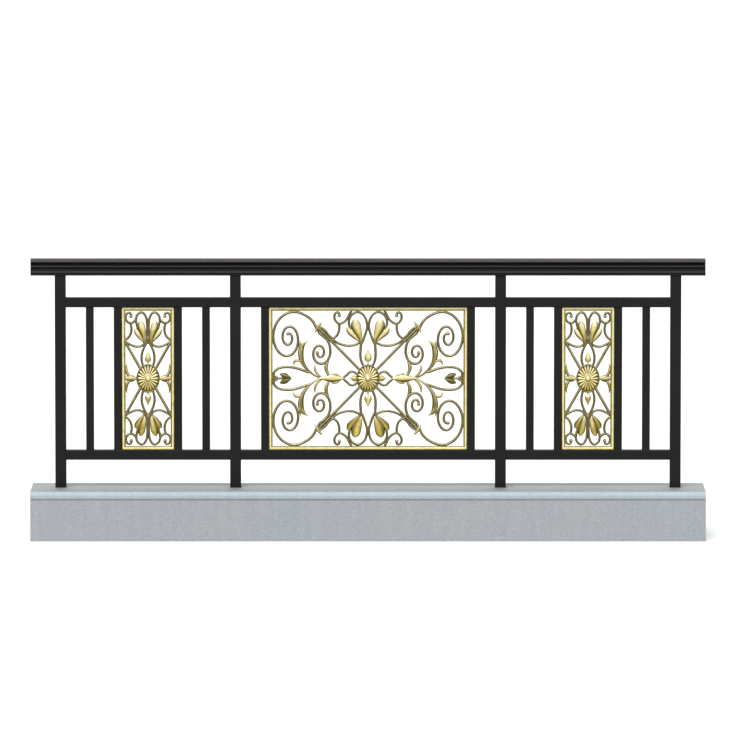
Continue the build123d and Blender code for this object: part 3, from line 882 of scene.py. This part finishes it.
def addBlade(relief, grid, spine, widths, crown, tone=0.0, lean=0.0, flutes=0, rib=0.0, across=9, steps=5):
    # a leaf or petal: smooth spine, width at each knot, domed on both sides, darker by tone
    # lean moves its ridge and its dark edge to the left of the spine, or to the right if under 0; that dark
    # edge is painted shade
    knots = [(*grid(*place), width * mm) for place, width in zip(spine, widths)]
    run = smoothRun(knots, steps)
    rings = []
    for k, (x, z, width) in enumerate(run):
        before = run[max(k - 1, 0)]
        after = run[min(k + 1, len(run) - 1)]
        heading = Vector((after[0] - before[0], after[1] - before[1])).normalized()
        share = k / (len(run) - 1)
        half = max(width, casting["thinnest"] * mm) / 2
        wave = math.sin(math.pi * blend(*casting["swell"], share)) ** casting["swellPower"]
        swell = blend(casting["endHeight"], 1, wave)
        front = []
        for i in range(across):
            v = 2 * i / (across - 1) - 1
            u = (v - lean) / (1 - lean if v > lean else 1 + lean)
            dome = blend(casting["rimHeight"], 1, math.sqrt(max(0.0, 1 - u * u)))
            cut = 0.0          # how much of the height is cut away, and how dark it is there
            edge = casting["edgeShade"] if v * lean >= 0 else casting["farEdgeShade"]
            sharpness = casting["leanSharpness"] if v * lean > 0 else casting["edgeSharpness"]
            dark = tone + edge * abs(v) ** sharpness
            if flutes:
                groove = 0.5 - 0.5 * math.cos(math.pi * flutes * (v + 1))
                groove *= math.sin(math.pi * share) ** casting["fluteFade"]
                cut += casting["fluteDepth"] * groove
                dark += casting["fluteShade"] * groove
            ridge = rib * mm * math.exp(-(v / casting["ribWidth"]) ** 2) * math.sin(math.pi * share)
            depth = crown * mm * swell * dome * (1 - cut) + ridge
            place = (x - heading.y * half * v, z + heading.x * half * v)
            front.append((place, depth, min(1.0, dark)))
        ring = [((a, -d, b), r) for (a, b), d, r in front]
        ring += [((a, d, b), r) for (a, b), d, r in reversed(front)]
        rings.append(ring)
    relief.addRings(rings)


def addKnob(relief, grid, place, radius, depth, sides=14, levels=8):
    # a flattened ball, front to back
    x, z = grid(*place)
    pole = casting["knobPole"]
    rings = []
    for k in range(levels + 1):
        angle = math.pi * (k + pole) / (levels + 2 * pole)
        size = radius * mm * math.sin(angle)
        outline = arc((x, z), size, 0, 360 * (1 - 1 / sides), sides - 1)
        # a ball darkens towards its sides, as the scrolls do: painted shade
        darkLevel = min(1.0, casting["knobTone"] + casting["edgeShade"] * math.sin(angle) ** 4)
        rings.append([((a, -depth * mm * math.cos(angle), b), darkLevel) for a, b in outline])
    relief.addRings(rings)


def addEndKnobs(relief, grid, lines):
    for points, _, _, knob in lines:
        if knob:
            addKnob(relief, grid, points[-1], knob, casting["knobDepth"])


def centreScrolls():
    wide = casting["scrollWidth"]
    fine = casting["fineWidth"]
    knob = casting["knob"]
    cornerArm = [
        (52, 50.5), (56, 57.8), (64.4, 64.3), (74.4, 67.2), (83, 65.2), (90.5, 58.8), (94.6, 50.5),
    ]
    cornerSpiral = volute((80.4, 41), (15.4, 23), 0, -3.6, 0.62)
    smallSpiral = volute((48.7, 26), (10.5, 14), 180, 3.0, 0.63)
    smallArm = [(50.5, 50), (49.3, 46), (45, 42.4), (40.8, 38), (38.7, 32.8)]
    stem = [
        (51, 51.5), (47.4, 51.2), (43.2, 48.1), (39, 43), (35.3, 40.9), (31.6, 43.3), (29.6, 47.5), (29, 52),
        (29.6, 56),
    ]
    hook = [
        (16.6, 68.6), (18.8, 64.8), (21.2, 60.2), (25, 56.6), (29, 55.4), (32.6, 58.1), (34, 62), (32.6, 66),
        (29.8, 66.4), (29, 63.6),
    ]
    loop = [
        (7.2, 34.4), (5.2, 37.8), (3.5, 42.6), (1.9, 47.3), (0.9, 51.2), (1.2, 56), (2.8, 61.4), (6.4, 65.6),
        (10.8, 67), (15.2, 65.2), (18.4, 61), (19.3, 56), (17.7, 50.4), (13.5, 45.2), (9.3, 40.4), (7.2, 35),
    ]
    heartLoop = [
        (59, 6.2), (63, 7.2), (69.2, 9.4), (76, 11.1), (83, 11.5), (88.6, 10.8), (92.6, 8.8), (95.2, 5.4),
        (94.6, 2.2), (91.4, 0.8),
    ]
    swag = [(36, 39.6), (31.2, 36.2), (25, 33.8), (17.5, 33.1), (12, 34.3), (7.2, 37)]
    drop = [(4, 11.5), (6.9, 18), (7.7, 24), (7.5, 29.5), (7.0, 35.6)]
    sideLoop = [(25, 0.4), (21.6, 3.4), (17.4, 6.8), (14, 6.4), (10.8, 4)]
    # points, width at the start, width at the end, radius of the knob at the end
    return [
        (cornerArm + cornerSpiral, wide, fine, knob),
        (smallArm + smallSpiral, wide, fine, knob),
        (stem, fine, fine, 0),
        (hook, fine, fine, knob),
        (swag, fine, fine, 0),
        (drop, fine, wide, 0),
        (loop, fine, fine, 0),
        ([(6, 6.2), (29, 29.6), (52, 53)], wide, wide, 0),
        (heartLoop, wide, fine, 0),
        (sideLoop, fine, fine, 0),
    ]


def centreRelief(grid):
    relief = Relief()
    addEndKnobs(relief, grid, centreScrolls())
    acanthus = [
        (47, 0.9), (50.6, 1.4), (55.4, 3.9), (60.6, 8.2), (65, 13.8), (67.4, 20), (68, 27), (66.4, 33.2),
        (62.4, 37.0),
    ]
    acanthusWidths = [7, 8, 9, 12, 17, 23, 27, 22, 5]
    addBlade(relief, grid, acanthus, acanthusWidths, 7.5, tone=0.16, lean=0.45, flutes=3, across=13, steps=6)
    addBlade(relief, grid, [(66.8, 28), (65.4, 34), (60.8, 38)], [8, 10, 3], 6.5, tone=0.3)
    addBlade(relief, grid, [(68.4, 27), (69.2, 33), (67.8, 38.6)], [7, 9, 2], 6.0, tone=0.3)
    curl = [(65.6, 15.4), (69, 17.6), (72.2, 18.3), (74.4, 17), (75.3, 13.6)]
    addBlade(relief, grid, curl, [7, 11, 13, 11, 4], 6.0, tone=0.2)
    leaflet = [(38.6, 1), (40.4, 4.4), (42, 8.4), (42.4, 12), (41.4, 15.4), (39.4, 18.2)]
    addBlade(relief, grid, leaflet, [8, 12, 16, 17, 14, 4], 7.0, tone=0.16, flutes=2)
    smallLeaflet = [(47, 1), (50.4, 3.8), (52.8, 7), (53.9, 11), (53.5, 15)]
    addBlade(relief, grid, smallLeaflet, [7, 10, 12, 10, 2], 6.0, tone=0.2)
    addBlade(relief, grid, [(46.2, 57.6), (50.2, 52.6), (53.8, 46.2)], [3, 15, 3], 8.5, tone=0.2)
    # the petals lean their dark edge outwards and down: painted shade
    outerPetal = [(8.8, 37.6), (12.6, 41.6), (16.2, 45), (18.8, 48.4), (20.6, 52.2)]
    addBlade(relief, grid, outerPetal, [8, 19, 26, 28, 11], 9.5, tone=0.12, lean=-0.5, across=13)
    innerPetal = [(6.9, 38.4), (7.6, 41), (9.2, 45), (11, 49), (12.2, 53), (12.9, 56.6), (13.4, 59.6)]
    addBlade(relief, grid, innerPetal, [8, 18, 32, 42, 45, 37, 13], 10.5, tone=0.08, lean=-0.5, across=13)
    addBlade(relief, grid, [(27, 1.2), (32.4, 4), (37.2, 5.2)], [4, 12, 2], 7.5, tone=0.2)
    heartLobe = [(77.6, 0.3), (81, 1.5), (85, 3), (89, 4.6)]
    addBlade(relief, grid, heartLobe, [4, 18, 25, 8], 10.0, tone=0.56)
    return relief


def centreWhole(grid):
    # pieces that lie across a middle line, one for each side
    relief = Relief()
    for side in (-1, 1):
        tail = [(side * x, 0) for x in (84, 89, 93, 97)]
        addBlade(relief, grid, tail, [8, 9, 13, 24], 6.5, tone=0.5)
        # the sheath's dark edge lies along its underside: painted shade
        sheath = [(side * x, 0) for x in (23.6, 27, 31, 35.5, 40, 46, 51.4)]
        sheathWidths = [3, 15, 29, 38, 29, 15, 10]
        addBlade(relief, grid, sheath, sheathWidths, 10.0, tone=0.12, lean=-0.4 * side, across=13)
        bud = [(side * x, 0) for x in (11.2, 12.4, 14.2, 16.2, 18.4)]
        addBlade(relief, grid, bud, [16, 24, 27, 15, 2], 9.5, tone=0.12, across=11)
        addBlade(relief, grid, [(0, side * 11.5), (0, side * 15), (0, side * 18)], [5, 5, 6], 6.5, tone=0.3)
        flame = [(0, side * z) for z in (17, 18, 20.2, 23, 26, 29.2)]
        addBlade(relief, grid, flame, [10, 25, 34, 27, 14, 2], 9.5, tone=0.06, across=13)
    return relief


def sideScrolls():
    wide = casting["scrollWidth"]
    fine = casting["fineWidth"]
    cornerHook = [
        (11.4, 60.4), (15, 56.6), (18.6, 56.2), (21.6, 59), (22, 63), (20, 66), (17.2, 65.6), (16.8, 62.8),
    ]
    loop = [
        (3.2, 35.4), (1.2, 39.4), (0.8, 48), (0.8, 55), (2.2, 62.6), (5.8, 66.6), (10, 64.8), (11.8, 60),
        (11.2, 55), (9.2, 48.6), (6.4, 42), (3.4, 35.8),
    ]
    return [
        (cornerHook, fine, fine, casting["knob"]),
        ([(17.8, 57), (16.4, 51), (17, 45.6), (19.4, 41.3), (23, 38.6)], fine, fine, 0),
        ([(23, 37.6), (16.6, 33.7), (10.4, 32.1), (5.4, 33.6), (3, 36.6)], fine, fine, 0),
        ([(5, 12.5), (6.3, 19), (6, 25), (3.8, 31.5), (0.6, 37.4)], fine, fine, 0),
        (loop, fine, fine, 0),
        ([(7, 8.8), (15, 23.2), (23, 37.6)], wide, wide, 0),
    ]


def sideRelief(grid):
    relief = Relief()
    addEndKnobs(relief, grid, sideScrolls())
    sideLeaf = [(14.6, 0.8), (18.4, 2.2), (20.6, 5.4), (21.6, 10), (20.9, 15.4)]
    addBlade(relief, grid, sideLeaf, [9, 13, 14, 11, 2], 7.0, tone=0.3, rib=1.0)
    # the petals lean their dark edge outwards and down: painted shade
    outerPetal = [(4.6, 37.2), (7, 40.4), (9.2, 43.6), (11.2, 47), (12.6, 50.4)]
    addBlade(relief, grid, outerPetal, [8, 16, 22, 24, 10], 9.5, tone=0.14, lean=-0.5, across=13)
    innerPetal = [(3.7, 37.6), (4, 42), (5, 46.5), (6.1, 50.5), (6.9, 54), (7.6, 58.2)]
    addBlade(relief, grid, innerPetal, [7, 16, 27, 33, 32, 11], 10.5, tone=0.1, lean=-0.5, across=13)
    return relief


def sideWhole(grid):
    relief = Relief()
    for side in (-1, 1):
        # the bud's dark edge lies along its underside: painted shade
        bud = [(side * x, 0) for x in (11.2, 13.6, 16.4, 19.4, 23)]
        addBlade(relief, grid, bud, [6, 21, 32, 24, 13], 9.5, tone=0.24, lean=-0.4 * side, across=13)
        addBlade(relief, grid, [(0, side * 11.5), (0, side * 15), (0, side * 18)], [5, 5, 6], 6.5, tone=0.3)
        flame = [(0, side * z) for z in (16.4, 17.4, 19.2, 21.8, 24.4, 27)]
        addBlade(relief, grid, flame, [9, 22, 29, 22, 12, 2], 9.5, tone=0.1, across=13)
        clasp = [(0, side * z) for z in (35, 38, 41.4, 45)]
        addBlade(relief, grid, clasp, [3, 12, 11, 3], 7.5, tone=0.4)
    return relief


def startTree(name, inputs):
    tree = bpy.data.node_groups.new(name, "GeometryNodeTree")
    tree.interface.new_socket("Geometry", in_out="INPUT", socket_type="NodeSocketGeometry")
    keys = {}
    for label, kind in inputs.items():
        socket = tree.interface.new_socket(label, in_out="INPUT", socket_type="NodeSocket" + kind)
        keys[label] = socket.identifier
    tree.interface.new_socket("Geometry", in_out="OUTPUT", socket_type="NodeSocketGeometry")
    entry = addNode(tree, "NodeGroupInput", (-1400, 0))
    return tree, keys, entry.outputs


def shapeNode(tree, kind, at, values=None, **settings):
    # the first output of a Geometry Nodes node
    return addNode(tree, "GeometryNode" + kind, at, values, **settings).outputs[0]


def objectShape(tree, at, source):
    return addNode(tree, "GeometryNodeObjectInfo", at, {"Object": source}).outputs["Geometry"]


def joinShapes(tree, at, *shapes):
    both = addNode(tree, "GeometryNodeJoinGeometry", at)
    for shape in shapes:
        feed(tree, both.inputs[0], shape)
    return both.outputs[0]


def withMirror(tree, at, shape, flip):
    # the shape and its mirror image, with the image's faces turned outwards again
    turned = shapeNode(tree, "Transform", at, {"Geometry": shape, "Scale": flip})
    outward = shapeNode(tree, "FlipFaces", (at[0] + 180, at[1]), {"Mesh": turned})
    return joinShapes(tree, (at[0] + 360, at[1]), shape, outward)


def finishTree(tree, entry, shape):
    placed = shapeNode(tree, "Transform", (900, 0), {"Geometry": shape, "Translation": entry["Place"]})
    real = shapeNode(tree, "RealizeInstances", (1080, 0), {"Geometry": placed})
    finish = shapeNode(tree, "SetMaterial", (1260, 0), {"Geometry": real, "Material": entry["Material"]})
    addNode(tree, "NodeGroupOutput", (1600, 0), {0: finish})


def makeScrollTree():
    # scroll lines swept into oval bars, joined with the quarter's leaves and mirrored both ways
    tree, keys, entry = startTree("scrollwork", {
        "Scroll lines": "Object", "Whole": "Object", "Step": "Float", "Sides": "Int", "Depth share": "Float",
        "Bare depth": "Float", "Place": "Vector", "Material": "Material",
    })
    lines = objectShape(tree, (-1200, 200), entry["Scroll lines"])
    spacing = {"Curve": lines, "Length": entry["Step"]}
    even = shapeNode(tree, "ResampleCurve", (-1000, 200), spacing, mode="LENGTH")
    level = shapeNode(tree, "SetCurveNormal", (-800, 200), {"Curve": even}, mode="Z_UP")
    circle = {"Radius": 1.0, "Resolution": entry["Sides"]}
    section = shapeNode(tree, "CurvePrimitiveCircle", (-1000, -100), circle)
    squashValues = {"X": 1.0, "Y": entry["Depth share"], "Z": 1.0}
    squash = addNode(tree, "ShaderNodeCombineXYZ", (-1000, -300), squashValues).outputs[0]
    oval = shapeNode(tree, "Transform", (-800, -100), {"Geometry": section, "Scale": squash})
    width = shapeNode(tree, "InputRadius", (-800, -300))
    sweep = {"Curve": level, "Profile Curve": oval, "Scale": width, "Fill Caps": True}
    bars = shapeNode(tree, "CurveToMesh", (-600, 100), sweep)
    # darker from a bar's front towards its sides: painted shade
    where = shapeNode(tree, "InputPosition", (-800, -500))
    split = addNode(tree, "ShaderNodeSeparateXYZ", (-600, -500), {0: where})
    away = mathNode(tree, "ABSOLUTE", (-450, -500), split.outputs["Z"])
    share = mathNode(tree, "DIVIDE", (-300, -500), away, entry["Bare depth"])
    darkLevel = mathNode(tree, "SUBTRACT", (-150, -500), 1.0, share, clamp=True)
    mark = {"Geometry": bars, "Name": "recess", "Value": darkLevel}
    marked = shapeNode(tree, "StoreNamedAttribute", (-300, 100), mark, data_type="FLOAT", domain="POINT")
    upright = shapeNode(tree, "Transform", (-100, 100), {"Geometry": marked, "Rotation": (math.pi / 2, 0, 0)})
    smooth = shapeNode(tree, "SetShadeSmooth", (60, 100), {"Geometry": upright})
    quarter = joinShapes(tree, (220, 0), smooth, entry["Geometry"])
    half = withMirror(tree, (300, 200), quarter, (-1, 1, 1))
    panel = withMirror(tree, (300, -200), half, (1, 1, -1))
    whole = objectShape(tree, (300, -500), entry["Whole"])
    finishTree(tree, entry, joinShapes(tree, (740, 0), panel, whole))
    return tree, keys


def runTree(piece, tree, keys, values):
    build = piece.modifiers.new("build", "NODES")
    build.node_group = tree
    for label, value in values.items():
        build[keys[label]] = value
    settle(piece)


rosette = {
    "petals": 20,
    "inner": 0.20,             # where a petal starts, as a share of the rosette's radius
    "outer": 0.93,             # and where it ends, inside the rim
    "fill": 0.97,              # share of its room that a petal takes up across
    "tipStart": 0.80,          # share of its length at which a petal's tip starts to round
    "tipLength": 0.205,
    "tipWidth": 0.06,          # least width, at the very tip
    "petalLow": 5.0,           # mm from the casting's middle plane, at the petal's tip
    "petalHigh": 11.5,         # near the button
    "petalSag": 1.4,           # over 1 keeps the petal high for longer
    "petalCrown": 2.6,
    "grooveDepth": 2.0,
    "grooveSharpness": 3,
    "edgeSharpness": 2.4,      # how close to its edge a petal turns dark
    "innerShade": 0.25,        # how dark its edges are beside the button
    "rimShade": 0.6,           # how dark the petals turn at their tips
    "rimSharpness": 8,
    "back": 2.0,
    "stations": 11,
    "across": 7,
    "sides": 64,
    "eye": 0.004,              # least radius, at the button's middle
}


def petalMesh():
    # one fluted petal along +X in a rosette of radius 1
    relief = Relief()
    size = rosette
    slope = math.tan(math.pi / size["petals"])
    rings = []
    for k in range(size["stations"]):
        share = k / (size["stations"] - 1)
        reach = blend(size["inner"], size["outer"], share)
        tip = math.sqrt(max(0.0, 1 - max(0.0, (share - size["tipStart"]) / size["tipLength"]) ** 2))
        half = reach * slope * size["fill"] * max(tip, size["tipWidth"])
        base = blend(size["petalHigh"], size["petalLow"], share ** size["petalSag"])
        ring = []
        for i in range(size["across"]):
            v = 2 * i / (size["across"] - 1) - 1
            lift = size["petalCrown"] * (1 - v * v) * (0.5 + 0.5 * math.sin(math.pi * share))
            groove = size["grooveDepth"] * abs(v) ** size["grooveSharpness"]
            darkLevel = abs(v) ** size["edgeSharpness"] * blend(size["innerShade"], 1, share)
            darkLevel += size["rimShade"] * share ** size["rimSharpness"]
            ring.append(((reach, -(base + lift - groove) * mm, half * v), min(1.0, darkLevel)))
        for v in (1, -1):
            ring.append(((reach, -size["back"] * mm, half * v), 1.0))
        rings.append(ring)
    relief.addRings(rings)
    return relief.mesh("rosettePetal")


bossSection = [                # radius, mm from the middle plane, darkness
    (0.0, 19.2, 0.0), (0.07, 18.9, 0.0), (0.13, 17.9, 0.1), (0.18, 16.2, 0.2), (0.205, 14.6, 0.35),
    (0.215, 13.6, 0.5), (0.235, 14.2, 0.2), (0.265, 14.5, 0.0), (0.295, 14.0, 0.1), (0.31, 12.4, 0.3),
    (0.315, 5.6, 1.0), (0.89, 5.0, 0.9), (0.915, 6.4, 0.6), (0.94, 7.2, 0.42), (0.965, 7.0, 0.42),
    (0.985, 6.0, 0.55), (1.0, 4.0, 0.8), (1.0, 0.0, 1.0),
]


def bossMesh():
    # the plate behind the petals and the button in the middle, turned round Y at radius 1
    relief = Relief()
    sides = rosette["sides"]
    turns = [2 * math.pi * i / sides for i in range(sides)]
    chain = bossSection + [(r, -y, darkLevel) for r, y, darkLevel in reversed(bossSection[:-1])]
    rings = []
    for radius, depth, darkLevel in chain:
        size = max(radius, rosette["eye"])
        ring = [(size * math.cos(turn), -depth * mm, size * math.sin(turn)) for turn in turns]
        rings.append([(point, darkLevel) for point in ring])
    relief.addRings(rings)
    return relief.mesh("rosetteBoss")


def makeRosetteTree():
    # petals set round a ring, front and back, stretched to an oval with the boss
    tree, keys, entry = startTree("rosette", {
        "Petal": "Object", "Boss": "Object", "Petals": "Int", "Oval": "Vector", "Place": "Vector",
        "Material": "Material",
    })
    ring = shapeNode(tree, "MeshCircle", (-1200, 200), {"Radius": 1.0, "Vertices": entry["Petals"]})
    petal = objectShape(tree, (-1200, -100), entry["Petal"])
    flat = shapeNode(tree, "Transform", (-1000, -100), {"Geometry": petal, "Rotation": (-math.pi / 2, 0, 0)})
    where = {"Vector": shapeNode(tree, "InputPosition", (-1200, -400))}
    aim = {"axis": "X", "pivot_axis": "Z"}
    outward = addNode(tree, "FunctionNodeAlignRotationToVector", (-1000, -400), where, **aim)
    setting = {"Points": ring, "Instance": flat, "Rotation": outward.outputs[0]}
    spots = shapeNode(tree, "InstanceOnPoints", (-600, 100), setting)
    shift = {"Instances": spots, "Translation": (-1, 0, 0)}
    inward = shapeNode(tree, "TranslateInstances", (-400, 100), shift)
    petals = shapeNode(tree, "RealizeInstances", (-220, 100), {"Geometry": inward})
    standing = shapeNode(tree, "Transform", (-40, 100), {"Geometry": petals, "Rotation": (math.pi / 2, 0, 0)})
    doubled = withMirror(tree, (140, 100), standing, (1, -1, 1))
    boss = objectShape(tree, (140, -300), entry["Boss"])
    flower = joinShapes(tree, (560, 0), doubled, boss)
    oval = shapeNode(tree, "Transform", (720, 0), {"Geometry": flower, "Scale": entry["Oval"]})
    finishTree(tree, entry, oval)
    return tree, keys


borderSection = [              # mm in from the border's outside, mm from the middle plane, darkness
    (0.0, 6.2, 0.2), (0.5, 7.2, 0.15), (1.6, 8.2, 0.08), (3.2, 8.8, 0.0), (5.4, 9.0, 0.0), (7.6, 8.9, 0.0),
    (9.4, 8.4, 0.0), (10.8, 7.4, 0.1), (11.7, 5.6, 0.7), (12.1, 4.8, 0.9), (12.5, 4.8, 0.8),
    (12.9, 5.2, 0.4), (13.9, 5.5, 0.3), (15.1, 5.4, 0.3), (16.2, 4.7, 0.4), (16.8, 3.4, 0.6),
    (17.0, 1.6, 0.9),
]


def makeBorder(name, nodeName):
    low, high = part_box(nodeName)
    middle = (low + high) / 2
    section = borderSection + [(inset, -depth, darkLevel) for inset, depth, darkLevel in reversed(borderSection)]
    points = []
    recess = []
    for signX, signZ in ((-1, -1), (1, -1), (1, 1), (-1, 1)):
        for inset, depth, darkLevel in section:
            x = middle.x + signX * ((high.x - low.x) / 2 - inset * mm)
            z = middle.z + signZ * ((high.z - low.z) / 2 - inset * mm)
            points.append((x, middle.y - depth * mm, z))
            recess.append(darkLevel)
    count = len(section)
    faces = []
    for corner in range(4):
        for i in range(count):
            a = corner * count + i
            b = corner * count + (i + 1) % count
            c = (corner + 1) % 4 * count + (i + 1) % count
            d = (corner + 1) % 4 * count + i
            faces.append((a, b, c, d))
    mesh = darknessMesh(name, points, faces, recess, "border")
    dress(addObject(name, mesh), giltCasting, "gilt_casting", nodeName)


sidePanel = {
    "squares": (22.3, 68.3),   # from the middle to the border, across and up
    "rosette": (11.7, 14.6),   # half its width and height, in squares
    "drawing": (sideScrolls, sideRelief, sideWhole),
}
centrePanel = {
    "squares": (96.5, 68.3),
    "rosette": (11.8, 14.2),
    "drawing": (centreScrolls, centreRelief, centreWhole),
}
panels = {
    "ornament_left_bay": sidePanel,
    "ornament_centre_bay": centrePanel,
    "ornament_right_bay": sidePanel,
}
scrollTree, scrollKeys = makeScrollTree()
rosetteTree, rosetteKeys = makeRosetteTree()
petal = addObject("rosettePetal", petalMesh())
boss = addObject("rosetteBoss", bossMesh())


def makePanel(nodeName, panel):
    bay = camelName(nodeName).removeprefix("ornament")
    grid = makeGrid(nodeName, *panel["squares"])
    low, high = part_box(nodeName)
    place = (low + high) / 2
    drawScrolls, drawRelief, drawWhole = panel["drawing"]
    lines = scrollLines("lines" + bay, grid, drawScrolls())
    whole = addObject("whole" + bay, drawWhole(grid).mesh("whole" + bay))
    scrollwork = addObject("scrollwork" + bay, drawRelief(grid).mesh("scrollwork" + bay))
    runTree(scrollwork, scrollTree, scrollKeys, {
        "Scroll lines": lines,
        "Whole": whole,
        "Step": casting["scrollStep"] * mm,
        "Sides": casting["scrollSides"],
        "Depth share": casting["scrollDepth"],
        "Bare depth": casting["bareDepth"] * mm,
        "Place": place,
        "Material": giltCasting,
    })
    bpy.data.objects.remove(lines)
    bpy.data.objects.remove(whole)
    dress(scrollwork, giltCasting, "gilt_casting", nodeName)
    flower = addObject("rosette" + bay, bpy.data.meshes.new("rosette" + bay))
    radiusX, radiusZ = grid(*panel["rosette"])
    runTree(flower, rosetteTree, rosetteKeys, {
        "Petal": petal,
        "Boss": boss,
        "Petals": rosette["petals"],
        "Oval": (radiusX, 1.0, radiusZ),
        "Place": place,
        "Material": giltCasting,
    })
    dress(flower, giltCasting, "gilt_casting", nodeName)
    makeBorder("border" + bay, nodeName)
    faceCount = len(scrollwork.data.polygons) + len(flower.data.polygons)
    print("panel", bay, faceCount, "faces in its scrolls and rosette")


for nodeName, panel in panels.items():
    makePanel(nodeName, panel)
bpy.data.objects.remove(petal)
bpy.data.objects.remove(boss)
